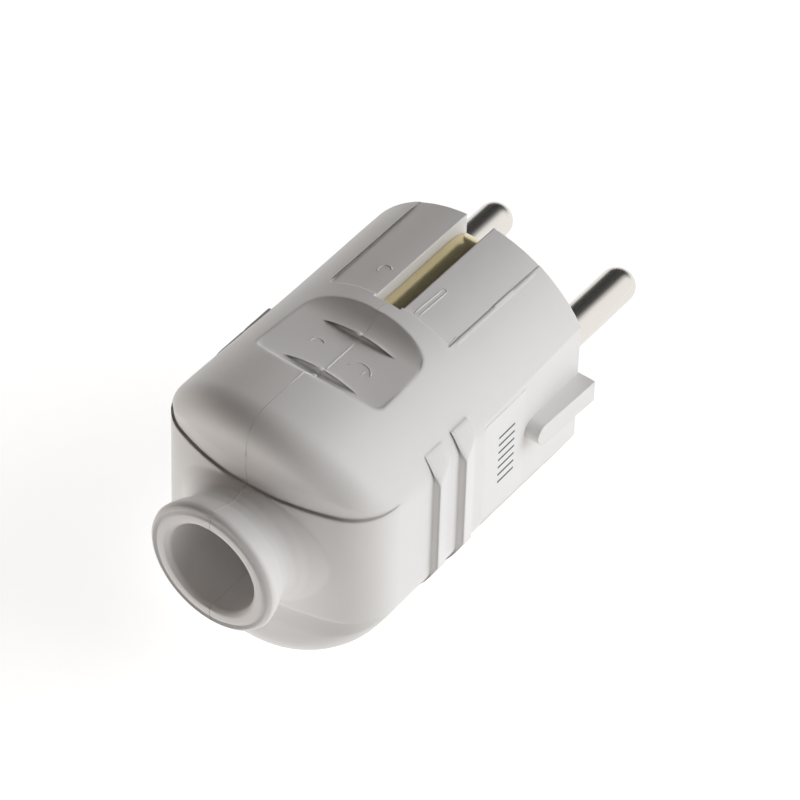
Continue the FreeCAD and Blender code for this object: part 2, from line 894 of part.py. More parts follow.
def shell_left(stock):
    """Left half: it takes the head of the housing screw and carries the pegs."""
    seam = size("seam_gap") / 2
    wall = size("cavity_half_width")
    y = -(size("housing_back"))
    half = shared("left_half", [stock, side_room("left_room", -TALL, -seam)])
    outer = size("side_half_width") + size("grip_height")
    seat = size("housing_seat")
    added = carrier_stops("left_stop", -1) + [
        rod("left_sleeve", size("housing_sleeve_radius"), -outer, size("housing_sleeve_floor") - seat, y, 0),
        rod("left_boss", size("housing_boss_radius"), -(wall + ROOT), 0, y, 0),
    ]
    for word, radius, back, height in peg_places():
        added.append(rod(f"peg_{word}", radius, -(size("peg_root")), size("peg_reach"), back, height))
    solid = join("left_filled", [half] + added)
    bore_radius = size("housing_head_radius") + size("counterbore_clear")
    hole_radius = size("housing_screw_radius") + size("housing_hole_clear")
    holes = join("left_holes", [
        rod("left_counterbore", bore_radius, -TALL, -seat, y, 0),
        rod("left_screw_hole", hole_radius, -(seat + ROOT), ROOT, y, 0),
    ])
    shell = cut("shell_left", solid, holes)
    shell.Label = "shell_left"
    return shell


def clamp_rise():
    """Height of the clamp screws, whose heads stand just outside the bow of the bar."""
    outer = size("clamp_bow_radius") + size("clamp_bar_thickness")
    bow = leg(outer, size("clamp_bow_offset") + size("clamp_bar_thickness"))
    return bow + size("clamp_head_radius") + size("clamp_head_clear")


def trough_ribs():
    """Two ribs with a round notch that the cable lies in."""
    edge = size("trough_edge")
    tall = size("trough_half_height")
    half = size("trough_rib_thickness") / 2
    wall = size("cavity_half_width") + ROOT
    ribs = []
    for word, sign in (("front", 1), ("rear", -1)):
        middle = size("trough_rib_spacing") / 2 * sign - size("clamp_back")
        ribs.append(block(f"trough_{word}", edge, wall, middle - half, middle + half, -tall, tall))
    notch = column("trough_notch", size("trough_radius"), size("body_length"))
    return cut("trough", join("trough_bars", ribs), notch)


def shell_right(stock):
    """Right half: blind screw bosses, the cable trough and the seats of the pegs."""
    seam = size("seam_gap") / 2
    wall = size("cavity_half_width") + ROOT
    half = shared("right_half", [stock, side_room("right_room", seam, TALL)])
    rise = clamp_rise()
    screw_y = -(size("housing_back"))
    clamp_y = -(size("clamp_back"))
    boss = size("clamp_boss_radius")
    added = carrier_stops("right_stop", 1) + [
        rod("right_boss", size("housing_boss_radius"), 0, wall, screw_y, 0),
        rod("clamp_boss_upper", boss, 0, wall, clamp_y, rise),
        rod("clamp_boss_lower", boss, 0, wall, clamp_y, -rise),
        trough_ribs(),
    ]
    solid = join("right_filled", [half] + added)
    clear = size("thread_clear")
    spare_end = size("pilot_end_clear")
    pilot = size("housing_screw_radius") + clear
    clamp_pilot = size("clamp_screw_radius") + clear
    clamp_end = size("clamp_screw_reach") + spare_end
    holes = [
        rod("right_pilot", pilot, -ROOT, size("housing_screw_reach") + spare_end, screw_y, 0),
        rod("clamp_pilot_upper", clamp_pilot, -ROOT, clamp_end, clamp_y, rise),
        rod("clamp_pilot_lower", clamp_pilot, -ROOT, clamp_end, clamp_y, -rise),
    ]
    for word, radius, back, height in peg_places():
        seat_end = size("peg_reach") + spare_end
        holes.append(rod(f"seat_{word}", radius + size("peg_clear"), -ROOT, seat_end, back, height))
    shell = cut("shell_right", solid, join("right_holes", holes))
    shell.Label = "shell_right"
    return shell


# Small parts inside

def pin(label, side):
    """Round contact pin with a thicker seat, a flange, a clamping barrel and a wire bore."""
    body = new_body(label)
    radius = size("pin_radius")
    seat = radius + size("pin_seat_step")
    wall = -(size("front_wall"))
    flange_rear = wall - size("flange_thickness")
    barrel_rear = -(size("barrel_rear"))
    profile = draw_outline(body_sketch(body, f"{label}_profile", "XY_Plane"), [
        (0, barrel_rear),
        (size("barrel_radius"), barrel_rear),
        (size("barrel_radius"), flange_rear),
        (size("flange_radius"), flange_rear),
        (size("flange_radius"), wall),
        (seat, wall),
        (seat, 0),
        (radius, 0),
        (radius, size("pin_length") - radius),
        (0, size("pin_length"), radius, "left"),
    ])
    revolve(body, f"{label}_turned", profile)
    wire = draw_circle(body_sketch(body, f"{label}_wire_line", "XZ_Plane", barrel_rear), 0, 0,
                       size("wire_bore_radius"))
    pocket(body, f"{label}_wire_bore", wire, size("wire_bore_depth"))
    screw_radius = size("terminal_screw_radius") + size("thread_clear")
    screw = body_sketch(body, f"{label}_screw_line", "XY_Plane")
    draw_circle(screw, 0, -(size("terminal_screw_back")), screw_radius)
    pocket(body, f"{label}_screw_hole", screw, size("barrel_radius") + SPARE, reverse=True)
    place(body, size("pin_spacing") / 2 * side)
    return body


# The plane that holds a screw's profile, and the one across its axis
SCREW_PLANES = {
    "X": ("XZ_Plane", "YZ_Plane"),
    "Y": ("XY_Plane", "XZ_Plane"),
    "Z": ("XZ_Plane", "XY_Plane"),
}


def slotted_screw(label, axis, shank, head, head_height, under_head, tip, spot):
    """Cheese-head screw with a driver slot. under_head and tip lie on the named axis."""
    body = new_body(label)
    under_head, tip = as_size(under_head), as_size(tip)
    way = 1 if tip.value > under_head.value else -1
    top = under_head - head_height * way
    plane, cross = SCREW_PLANES[axis]
    steps = [(0, top), (head, top), (head, under_head), (shank, under_head), (shank, tip), (0, tip)]
    if axis == "X":
        steps = [(along, across) for across, along in steps]
    profile = draw_outline(body_sketch(body, f"{label}_profile", plane), steps)
    revolve(body, f"{label}_turned", profile, "H_Axis" if axis == "X" else "V_Axis")
    half = size("screw_slot_width") / 2
    line = draw_rectangle(body_sketch(body, f"{label}_slot_line", cross, top), -(head + ROOT), head + ROOT,
                          -half, half)
    normal = PLANE_NORMAL[cross][1]
    pocket(body, f"{label}_slot", line, size("screw_slot_depth"), reverse=(way * normal > 0))
    place(body, *spot)
    return body


def terminal_screw(label, side):
    lift = size("barrel_radius") + size("terminal_head_lift")
    return slotted_screw(label, "Z", size("terminal_screw_radius"), size("terminal_head_radius"),
                         size("terminal_head_height"), lift, size("terminal_screw_tip"),
                         (size("pin_spacing") / 2 * side, -(size("terminal_screw_back")), 0))


def pin_carrier():
    """Insulating plate behind the pin flanges with two barriers beside the earth screw."""
    body = new_body("pin_carrier")
    half = size("cavity_half_width") - size("carrier_clear")
    tall = size("carrier_half_height")
    corner = size("carrier_corner")
    front = -(size("front_wall") + size("flange_thickness"))
    plate = body_sketch(body, "carrier_outline", "XZ_Plane", front)
    draw_outline(plate, rounded_box(half, tall, corner))
    pad(body, "carrier_plate", plate, size("carrier_thickness"))
    rear = front - size("carrier_thickness")
    inner = size("barrier_inner")
    outer = inner + size("barrier_thickness")
    high = size("barrier_half_height")
    barriers = body_sketch(body, "barrier_outline", "XZ_Plane", rear)
    draw_rectangle(barriers, inner, outer, -high, high)
    draw_rectangle(barriers, -outer, -inner, -high, high)
    pad(body, "barriers", barriers, size("barrier_rear") + rear)
    holes = body_sketch(body, "barrel_hole_line", "XZ_Plane", front)
    for side in (1, -1):
        draw_circle(holes, size("pin_spacing") / 2 * side, 0, size("barrel_radius") + size("barrel_clear"))
    pocket(body, "barrel_holes", holes, size("carrier_thickness") + ROOT, reverse=True)
    return body


def rounded_box(half, tall, corner):
    """Corners of a rectangle about the origin whose four corners are rounded alike."""
    return [
        (half, corner - tall, corner, "left"),
        (half, tall - corner),
        (half - corner, tall, corner, "left"),
        (corner - half, tall),
        (-half, tall - corner, corner, "left"),
        (-half, corner - tall),
        (corner - half, -tall, corner, "left"),
        (half - corner, -tall),
    ]


def earth_bracket():
    """One bent strip: two side contacts with curled noses, joined behind the pins."""
    body = new_body("earth_bracket")
    top = size("contact_top")
    thick = size("strip_thickness")
    low = top - thick
    bend = size("contact_bend")
    inner_bend = bend - thick
    rear = -(size("web_rear"))
    nose = size("contact_nose_radius")
    start = size("contact_nose_start")
    inner_nose = nose - thick
    share = start / nose
    fall = leg(nose, start)
    tip = (as_size(0), top - nose + fall)
    heel = (share * inner_nose - start, top - nose + fall * inner_nose / nose)
    outline = body_sketch(body, "bracket_side", "YZ_Plane")
    draw_outline(outline, [
        (tip[0], tip[1]),
        (-start, top, nose, "left"),
        (rear + bend, top),
        (rear, top - bend, bend, "left"),
        (rear, bend - top),
        (rear + bend, -top, bend, "left"),
        (-start, -top),
        (tip[0], -tip[1], nose, "left"),
        (heel[0], -heel[1]),
        (-start, -low, inner_nose, "right"),
        (rear + bend, -low),
        (rear + thick, bend - top, inner_bend, "right"),
        (rear + thick, top - bend),
        (rear + bend, low, inner_bend, "right"),
        (-start, low),
        (heel[0], heel[1], inner_nose, "right"),
    ])
    pad(body, "bracket_strip", outline, size("contact_width"), both_ways=True)
    plate = body_sketch(body, "bracket_pad_line", "XZ_Plane", rear)
    draw_outline(plate, rounded_box(size("web_pad_half_width"), size("web_pad_half_height"), thick))
    pad(body, "bracket_pad", plate, thick, reverse=True)
    hole = draw_circle(body_sketch(body, "bracket_hole_line", "XZ_Plane", rear), 0, 0,
                       size("earth_screw_radius") + size("thread_clear"))
    pocket(body, "bracket_hole", hole, both_ways=True)
    return body


def square_plate(label, front, thickness):
    """Square plate on the earth screw: the nut before the bracket, the wire plate behind it."""
    body = new_body(label)
    half = size("earth_plate_half_width")
    outline = body_sketch(body, f"{label}_outline", "XZ_Plane", -front)
    draw_rectangle(outline, -half, half, -half, half)
    pad(body, f"{label}_plate", outline, thickness)
    hole = draw_circle(body_sketch(body, f"{label}_hole_line", "XZ_Plane", -front), 0, 0,
                       size("earth_screw_radius") + size("thread_clear"))
    pocket(body, f"{label}_hole", hole, both_ways=True)
    return body


def earth_terminal():
    web_front = size("web_rear") - size("strip_thickness")
    plate = size("earth_plate_thickness")
    nut = size("earth_nut_thickness")
    under_head = -(size("web_rear") + plate)
    return [
        earth_bracket(),
        square_plate("earth_nut", web_front - nut, nut),
        square_plate("earth_wire_plate", size("web_rear"), plate),
        slotted_screw("earth_terminal_screw", "Y", size("earth_screw_radius"), size("earth_head_radius"),
                      size("earth_head_height"), under_head, -(size("earth_screw_reach")), (0, 0, 0)),
    ]


def cord_clamp_bar():
    """Bowed steel bar that presses the cable into the trough of the right shell."""
    body = new_body("cord_clamp_bar")
    thick = size("clamp_bar_thickness")
    rise = clamp_rise()
    half = rise + size("clamp_bar_end")
    inner = size("clamp_bow_radius")
    outer = inner + thick
    centre = size("clamp_bow_offset")
    inner_z = leg(inner, centre)
    outer_z = leg(outer, centre + thick)
    outline = body_sketch(body, "clamp_bar_side", "XZ_Plane")
    draw_outline(outline, [
        (0, half),
        (-thick, half),
        (-thick, outer_z),
        (centre - outer, 0, outer, "left"),
        (-thick, -outer_z, outer, "left"),
        (-thick, -half),
        (0, -half),
        (0, -inner_z),
        (centre - inner, 0, inner, "right"),
        (0, inner_z, inner, "right"),
    ])
    pad(body, "clamp_bar_strip", outline, size("clamp_bar_width"), both_ways=True)
    holes = body_sketch(body, "clamp_bar_hole_line", "YZ_Plane")
    for sign in (1, -1):
        draw_circle(holes, 0, rise * sign, size("clamp_screw_radius") + size("clamp_hole_clear"))
    pocket(body, "clamp_bar_holes", holes, both_ways=True)
    place(body, 0, -(size("clamp_back")), 0)
    return body


def clamp_screw(label, sign):
    return slotted_screw(label, "X", size("clamp_screw_radius"), size("clamp_head_radius"),
                         size("clamp_head_height"), -(size("clamp_bar_thickness")), size("clamp_screw_reach"),
                         (0, -(size("clamp_back")), clamp_rise() * sign))


def housing_screw():
    return slotted_screw("housing_screw", "X", size("housing_screw_radius"), size("housing_head_radius"),
                         size("housing_head_height"), -(size("housing_seat")), size("housing_screw_reach"),
                         (0, -(size("housing_back")), 0))


def side_sticker():
    """Thin paper sticker on the right flat."""
    body = new_body("side_sticker")
    front, rear = size("sticker_front"), size("sticker_rear")
    thick = size("sticker_thickness")
    outline = draw_outline(body_sketch(body, "sticker_plan", "XY_Plane"), [
        (flat_x(front), -front),
        (flat_x(rear), -rear),
        (flat_x(rear) + thick, -rear),
        (flat_x(front) + thick, -front),
    ])
    pad(body, "sticker_sheet", outline, size("sticker_half_height") * 2, both_ways=True)
    return body


def build_parts():
    stock = shell_stock()
    parts = [
        shell_left(stock),
        shell_right(stock),
        pin_carrier(),
        pin("line_pin", -1),
        pin("neutral_pin", 1),
        terminal_screw("line_terminal_screw", -1),
        terminal_screw("neutral_terminal_screw", 1),
    ]
    parts += earth_terminal()
    parts += [
        cord_clamp_bar(),
        clamp_screw("cord_clamp_screw_upper", 1),
        clamp_screw("cord_clamp_screw_lower", -1),
        housing_screw(),
        side_sticker(),
    ]
    doc.recompute()
    return parts


def check_and_write(parts):
    troubled = [item.Name for item in doc.Objects if {"Invalid", "Error"} & set(item.State)]
    if troubled:
        raise RuntimeError(f"these objects did not compute: {troubled}")
    os.makedirs("parts", exist_ok=True)
    for part in parts:
        shape = part.Shape
        if shape.isNull() or not shape.isValid() or len(shape.Solids) != 1:
            raise RuntimeError(f"{part.Label} has no single valid solid")
        shape.exportStep(f"parts/{part.Label}.step")
        print(part.Label, round(shape.Volume, 1), len(shape.Faces))


check_and_write(build_parts())
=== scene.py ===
import math

import bmesh
import bpy
from mathutils import Matrix, Vector
from mathutils.bvhtree import BVHTree


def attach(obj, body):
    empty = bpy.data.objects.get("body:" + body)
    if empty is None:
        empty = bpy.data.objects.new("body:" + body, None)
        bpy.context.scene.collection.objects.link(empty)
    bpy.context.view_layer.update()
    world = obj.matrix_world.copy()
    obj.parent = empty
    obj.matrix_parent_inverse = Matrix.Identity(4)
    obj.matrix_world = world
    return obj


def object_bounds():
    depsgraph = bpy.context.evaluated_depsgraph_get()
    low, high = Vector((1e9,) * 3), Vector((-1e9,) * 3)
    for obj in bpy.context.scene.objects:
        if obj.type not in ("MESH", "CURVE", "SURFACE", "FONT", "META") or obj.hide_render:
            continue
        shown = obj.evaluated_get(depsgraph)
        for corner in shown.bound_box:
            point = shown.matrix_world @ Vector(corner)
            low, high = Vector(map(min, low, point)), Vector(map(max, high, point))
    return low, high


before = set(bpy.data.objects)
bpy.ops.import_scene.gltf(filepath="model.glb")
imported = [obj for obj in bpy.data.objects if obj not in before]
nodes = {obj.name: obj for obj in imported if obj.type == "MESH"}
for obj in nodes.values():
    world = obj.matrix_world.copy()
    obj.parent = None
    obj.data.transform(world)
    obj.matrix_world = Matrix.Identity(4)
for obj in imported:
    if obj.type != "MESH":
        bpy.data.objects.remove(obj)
cad_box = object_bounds()
mm = 0.001


# The two half shells, injection moulded in white polypropylene and held together by a screw
# from the left. The moulded skin is satin with a very faint orange peel. Its edges are crisp
# in front and at the seam, rounder from the finger recess back, and roundest on the grip ribs.
def linear(hex_colour):
    """Turns an sRGB hex value into the linear colour that a shader takes."""
    parts = [int(hex_colour[i:i + 2], 16) / 255 for i in (1, 3, 5)]
    return [c / 12.92 if c <= 0.04045 else ((c + 0.055) / 1.055) ** 2.4 for c in parts] + [1.0]


def add(tree, kind, settings=None, links=None):
    """Adds one shader node, sets its sockets and properties, and links its inputs."""
    node = tree.nodes.new(kind)
    for name, value in (settings or {}).items():
        if isinstance(name, int) or name in node.inputs:
            node.inputs[name].default_value = value
        else:
            setattr(node, name, value)
    for name, source in (links or {}).items():
        tree.links.new(source, node.inputs[name])
    return node


def new_material(name):
    """Makes an empty node material; gives it and its node tree."""
    material = bpy.data.materials.new(name)
    material.use_nodes = True
    material.node_tree.nodes.clear()
    return material, material.node_tree


def finish_surface(tree, shader):
    """Ends a material's tree with its shader."""
    output = add(tree, "ShaderNodeOutputMaterial")
    tree.links.new(shader.outputs[0], output.inputs["Surface"])


def per_mm(pattern_mm):
    """Texture scale for a pattern whose features are this many millimetres apart."""
    return 1 / (pattern_mm * mm)


def mould_rounding(tree, place):
    """Normal of the rounded edges; the radius follows from where on the shell an edge lies."""
    front_radius, rear_radius, rib_radius = 0.28 * mm, 0.85 * mm, 1.4 * mm
    ribs_behind_face = 28 * mm
    where = add(tree, "ShaderNodeSeparateXYZ", None, {"Vector": place})
    by_length = add(tree, "ShaderNodeMapRange",
                    {"From Min": -20 * mm, "From Max": -22 * mm,
                     "To Min": front_radius, "To Max": rear_radius},
                    {"Value": where.outputs["Y"]})
    sideways = add(tree, "ShaderNodeMath", {"operation": "ABSOLUTE"}, {0: where.outputs["X"]})
    on_flank = add(tree, "ShaderNodeMapRange", {"From Min": 12.5 * mm, "From Max": 14 * mm},
                   {"Value": sideways.outputs[0]})
    from_ribs = add(tree, "ShaderNodeMath", {"operation": "ADD", 1: ribs_behind_face},
                    {0: where.outputs["Y"]})
    apart = add(tree, "ShaderNodeMath", {"operation": "ABSOLUTE"}, {0: from_ribs.outputs[0]})
    beside_ribs = add(tree, "ShaderNodeMapRange", {"From Min": 6 * mm, "From Max": 5 * mm},
                      {"Value": apart.outputs[0]})
    on_ribs = add(tree, "ShaderNodeMath", {"operation": "MULTIPLY"},
                  {0: on_flank.outputs["Result"], 1: beside_ribs.outputs["Result"]})
    by_ribs = add(tree, "ShaderNodeMath", {"operation": "MULTIPLY", 1: rib_radius},
                  {0: on_ribs.outputs[0]})
    larger = add(tree, "ShaderNodeMath", {"operation": "MAXIMUM"},
                 {0: by_length.outputs["Result"], 1: by_ribs.outputs[0]})
    off_seam = add(tree, "ShaderNodeMapRange",
                   {"From Min": 0.15 * mm, "From Max": 1.1 * mm, "To Min": 0.08},
                   {"Value": sideways.outputs[0]})
    radius = add(tree, "ShaderNodeMath", {"operation": "MULTIPLY"},
                 {0: larger.outputs[0], 1: off_seam.outputs["Result"]})
    rounding = add(tree, "ShaderNodeBevel", {"samples": 12}, {"Radius": radius.outputs[0]})
    return rounding.outputs["Normal"]


def moulded_polypropylene(name, rounded):
    """The white plastic; the shells have rounded edges, the fine raised lines have none."""
    material, tree = new_material(name)
    place = add(tree, "ShaderNodeTexCoord").outputs["Object"]
    skin = add(tree, "ShaderNodeTexNoise", {"Scale": per_mm(0.45), "Detail": 2.0},
               {"Vector": place})
    flow = add(tree, "ShaderNodeTexNoise", {"Scale": per_mm(9.0), "Detail": 3.0},
               {"Vector": place})
    tint = add(tree, "ShaderNodeValToRGB", None, {"Fac": flow.outputs["Fac"]})
    tint.color_ramp.elements[0].color = linear("#E3E2E1")
    tint.color_ramp.elements[1].color = linear("#E9E8E8")
    rough = add(tree, "ShaderNodeMapRange", {"To Min": 0.36, "To Max": 0.46},
                {"Value": skin.outputs["Fac"]})
    peel = add(tree, "ShaderNodeBump", {"Strength": 0.12, "Distance": 0.02 * mm},
               {"Height": skin.outputs["Fac"]})
    if rounded:
        tree.links.new(mould_rounding(tree, place), peel.inputs["Normal"])
    shader = add(tree, "ShaderNodeBsdfPrincipled", {"IOR": 1.49},
                 {"Base Color": tint.outputs["Color"], "Roughness": rough.outputs["Result"],
                  "Normal": peel.outputs["Normal"]})
    finish_surface(tree, shader)
    return material


def dress(name, material):
    """Gives a CAD node its material."""
    node = nodes[name]
    node.data.materials.clear()
    node.data.materials.append(material)
    return node


polypropylene = moulded_polypropylene("injection_moulded_white_polypropylene", True)
for half in ("shell_left", "shell_right"):
    dress(half, polypropylene)


# Flash on the seam, plastic that crept between the halves of the mould. It stands as a fine
# bead on the recess floors, crown, shoulder and collar and in the collar's bore, with a small
# lump on the crest of each recess rib and on the rear rim.
graph = bpy.context.evaluated_depsgraph_get()
skins = {half: BVHTree.FromObject(nodes[half], graph) for half in ("shell_left", "shell_right")}


def on_skin(x, y, side):
    """Point on the skin over (side 1) or under (side -1) a place given in millimetres."""
    half = "shell_right" if x > 0 else "shell_left"
    start = Vector((x * mm, y * mm, side * 30 * mm))
    return skins[half].ray_cast(start, Vector((0, 0, -side)))[0]


def new_piece(name, mesh, material):
    """Makes a finished bmesh a piece of the plug with its material."""
    bmesh.ops.recalc_face_normals(mesh, faces=mesh.faces)
    data = bpy.data.meshes.new(name)
    mesh.to_mesh(data)
    mesh.free()
    data.polygons.foreach_set("use_smooth", [True] * len(data.polygons))
    data.materials.append(material)
    piece = bpy.data.objects.new(name, data)
    bpy.context.scene.collection.objects.link(piece)
    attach(piece, "root")


def bead(mesh, path, radius):
    """Adds a round bead along a path of points, thinner at both ends and closed there."""
    frames = []
    for place, point in enumerate(path):
        before = path[max(place - 1, 0)]
        after = path[min(place + 1, len(path) - 1)]
        heading = (after - before).to_track_quat("Z", "Y").to_matrix().to_4x4()
        width = 0.4 if point in (path[0], path[-1]) else 1.0
        frames.append(Matrix.Translation(point) @ heading @ Matrix.Diagonal((width, width, 1, 1)))
    ring = bmesh.ops.create_circle(mesh, cap_ends=False, segments=10, radius=radius,
                                   matrix=frames[0])
    edges = list({edge for vert in ring["verts"] for edge in vert.link_edges})
    ends = list(edges)
    for last, following in zip(frames, frames[1:]):
        grown = bmesh.ops.extrude_edge_only(mesh, edges=edges)["geom"]
        verts = [part for part in grown if isinstance(part, bmesh.types.BMVert)]
        edges = [part for part in grown if isinstance(part, bmesh.types.BMEdge)]
        bmesh.ops.transform(mesh, matrix=following @ last.inverted(), verts=verts)
    bmesh.ops.holes_fill(mesh, edges=ends + edges)


def lump(mesh, place, radius, height):
    """Adds a small flattened drop."""
    form = Matrix.Translation(place) @ Matrix.Diagonal((radius, radius * 0.8, height, 1))
    bmesh.ops.create_icosphere(mesh, subdivisions=3, radius=1, matrix=form)


def between(start, end, steps):
    """Evenly spaced numbers from start to end, both included."""
    return [start + (end - start) * step / steps for step in range(steps + 1)]


fine_polypropylene = moulded_polypropylene("white_polypropylene_flash", False)
beside_seam = 0.05
recess_floor = (-25.2, -30.6)
crown = (-33.2, -38.6)
shoulder_heights = (17.6, 16.8, 15.9, 14.9, 13.8, 12.7)
collar = (-46.4, -52.2)
bore_run = (-47, -51.75)
bore_radius = 6.35
crests_and_rim = ((-24.2, 0.42), (-31.7, 0.36), (-32.9, 0.36))  # place and radius of a lump
wide_bead, neck_bead, shoulder_bead, bore_bead = 0.15 * mm, 0.1 * mm, 0.09 * mm, 0.08 * mm
wide_sunk, neck_sunk = 0.07 * mm, 0.05 * mm
lump_height = 0.16 * mm
highest = cad_box[1][2] - wide_bead - 0.001 * mm

flash = bmesh.new()
for side in (1, -1):
    for start, end in (recess_floor, crown):
        skin = [on_skin(beside_seam, y, side) for y in between(start, end, 24)]
        heights = [min(abs(point.z) - wide_sunk, highest) for point in skin]
        path = [Vector((0, point.y, side * height)) for point, height in zip(skin, heights)]
        bead(flash, path, wide_bead)
    shoulder = []
    for height in shoulder_heights:
        behind = Vector((beside_seam * mm, -60 * mm, side * height * mm))
        shoulder.append(skins["shell_right"].ray_cast(behind, Vector((0, 1, 0)))[0])
    bead(flash, [Vector((0, point.y, point.z)) for point in shoulder], shoulder_bead)
    neck = [on_skin(beside_seam, y, side) for y in between(*collar, 29)]
    bead(flash, [Vector((0, point.y, point.z - side * neck_sunk)) for point in neck], neck_bead)
    bore = [Vector((0, y * mm, -side * bore_radius * mm)) for y in between(*bore_run, 19)]
    bead(flash, bore, bore_bead)
    for y, radius in crests_and_rim:
        crest = on_skin(beside_seam, y, side)
        lump(flash, Vector((0, crest.y, crest.z)), radius * mm, lump_height)
new_piece("seam_flash", flash, fine_polypropylene)


# Plain raised marks beside the earth contacts and on the recess floors: arcs and bars,
# moulded with the shell, that stand a tenth of a millimetre proud.
def arc(centre, radius, start, end):
    """Points, in millimetres, on an arc given by its angles in degrees."""
    angles = [math.radians(angle) for angle in between(start, end, 12)]
    return [(centre[0] + radius * math.cos(a), centre[1] + radius * math.sin(a)) for a in angles]


def bar(start, end):
    """Points, in millimetres, on a straight line."""
    return list(zip(between(start[0], end[0], 10), between(start[1], end[1], 10)))


mark_lines = [
    arc((-4.1, -13.8), 0.85, 20, 230),
    bar((4.0, -17.7), (4.1, -12.3)),
    bar((3.3, -17.7), (3.5, -12.3)),
    arc((3.8, -12.3), 0.3, 180, 0),
    arc((7.4, -16.9), 1.35, -80, 30),
    arc((-3.5, -27.9), 0.95, 190, 40),
    arc((3.2, -28.9), 1.75, 165, 15),
    bar((3.8, -28.7), (3.9, -28.0)),
]
mark_height = 0.1 * mm
marks = bmesh.new()
for side in (1, -1):
    for line in mark_lines:
        bead(marks, [on_skin(x, y, side) for x, y in line], mark_height)
new_piece("moulded_marks", marks, fine_polypropylene)


# Trimmed right edge of the flatter strip that holds the upper and lower earth contact. The
# cutter left a low, rounded burr along it, a little higher over one short stretch.
burr_x = 9.03
whole_edge = (-0.6, -17.9, 0.0, 0.6)  # from, to, rise over the skin and radius
short_stretch = (-5.4, -9.4, 0.07, 0.3)
edge = bmesh.new()
for side in (1, -1):
    for start, end, rise, radius in (whole_edge, short_stretch):
        skin = [on_skin(burr_x, y, side) for y in between(start, end, 20)]
        sunk = Vector((0, 0, side * (radius - rise) * mm))
        bead(edge, [point - sunk for point in skin], radius * mm)
new_piece("strip_edge_burr", edge, fine_polypropylene)


# Painted shade along the left edge of that strip, above and below: a thin string, dull and
# dark grey, laid in the corner where the crease along that edge lies in shade.
def painted_edge_shade():
    # A dull, mottled dark grey that stands in for the shade in the crease.
    material, tree = new_material("painted_grey_edge_shade")
    place = add(tree, "ShaderNodeTexCoord").outputs["Object"]
    shade_mottle = add(tree, "ShaderNodeTexNoise", {"Scale": per_mm(0.3), "Detail": 3.0},
                 {"Vector": place})
    tint = add(tree, "ShaderNodeValToRGB", None, {"Fac": shade_mottle.outputs["Fac"]})
    tint.color_ramp.elements[0].color = linear("#77716B")
    tint.color_ramp.elements[1].color = linear("#A09A94")
    shader = add(tree, "ShaderNodeBsdfPrincipled", {"Roughness": 0.9},
                 {"Base Color": tint.outputs["Color"]})
    finish_surface(tree, shader)
    return material


# The string of painted shade: where it lies along the edge, how far it runs and how thick it is.
shade_line_x = -9.05
shade_line_run = (-0.8, -17.8)
shade_line_sunk, shade_line_radius = 0.06 * mm, 0.12 * mm
shade_line = bmesh.new()
for side in (1, -1):
    skin = [on_skin(shade_line_x, y, side) for y in between(*shade_line_run, 20)]
    bead(shade_line, [point - Vector((0, 0, side * shade_line_sunk)) for point in skin], shade_line_radius)
new_piece("strip_edge_painted_shade", shade_line, painted_edge_shade())


# The two pins, turned from brass rod and nickel plated. The lathe leaves fine rings, and
# plugging in leaves faint lengthwise rub marks.
def plated_brass():
    material, tree = new_material("nickel_plated_turned_brass")
    place = add(tree, "ShaderNodeTexCoord").outputs["Object"]
    along = add(tree, "ShaderNodeMapping", {"Scale": (1.0, 0.04, 1.0)}, {"Vector": place})
    rubs = add(tree, "ShaderNodeTexNoise", {"Scale": per_mm(0.5), "Detail": 3.0},
               {"Vector": along.outputs[0]})
    rings = add(tree, "ShaderNodeTexWave",
                {"Scale": per_mm(2.2), "Distortion": 0.6, "bands_direction": "Y"},
                {"Vector": place})
    rough = add(tree, "ShaderNodeMapRange", {"To Min": 0.2, "To Max": 0.36},
                {"Value": rubs.outputs["Fac"]})
    lines = add(tree, "ShaderNodeBump", {"Strength": 0.08, "Distance": 0.01 * mm},
                {"Height": rings.outputs["Fac"]})
    shader = add(tree, "ShaderNodeBsdfPrincipled",
                 {"Base Color": linear("#EAE6DF"), "Metallic": 1.0},
                 {"Roughness": rough.outputs["Result"], "Normal": lines.outputs["Normal"]})
    finish_surface(tree, shader)
    return material


nickel = plated_brass()
for pin in ("line_pin", "neutral_pin"):
    dress(pin, nickel)


# The earth bracket, stamped and bent from brass strip. Rolling leaves a fine grain along
# the strip, and a thin film of oxide dulls the metal a little.
def rolled_brass():
    material, tree = new_material("rolled_brass_strip")
    place = add(tree, "ShaderNodeTexCoord").outputs["Object"]
    along = add(tree, "ShaderNodeMapping", {"Scale": (1.0, 0.05, 1.0)}, {"Vector": place})
    grain = add(tree, "ShaderNodeTexNoise", {"Scale": per_mm(0.35), "Detail": 4.0},
                {"Vector": along.outputs[0]})
    haze = add(tree, "ShaderNodeTexNoise", {"Scale": per_mm(3.0), "Detail": 3.0},
               {"Vector": place})
    tint = add(tree, "ShaderNodeValToRGB", None, {"Fac": haze.outputs["Fac"]})
    tint.color_ramp.elements[0].color = linear("#DBCC9E")
    tint.color_ramp.elements[1].color = linear("#E6DAB2")
    rough = add(tree, "ShaderNodeMapRange", {"To Min": 0.13, "To Max": 0.24},
                {"Value": grain.outputs["Fac"]})
    lines = add(tree, "ShaderNodeBump", {"Strength": 0.1, "Distance": 0.01 * mm},
                {"Height": grain.outputs["Fac"]})
    shader = add(tree, "ShaderNodeBsdfPrincipled", {"Metallic": 0.84},
                 {"Base Color": tint.outputs["Color"], "Roughness": rough.outputs["Result"],
                  "Normal": lines.outputs["Normal"]})
    finish_surface(tree, shader)
    return material


dress("earth_bracket", rolled_brass())


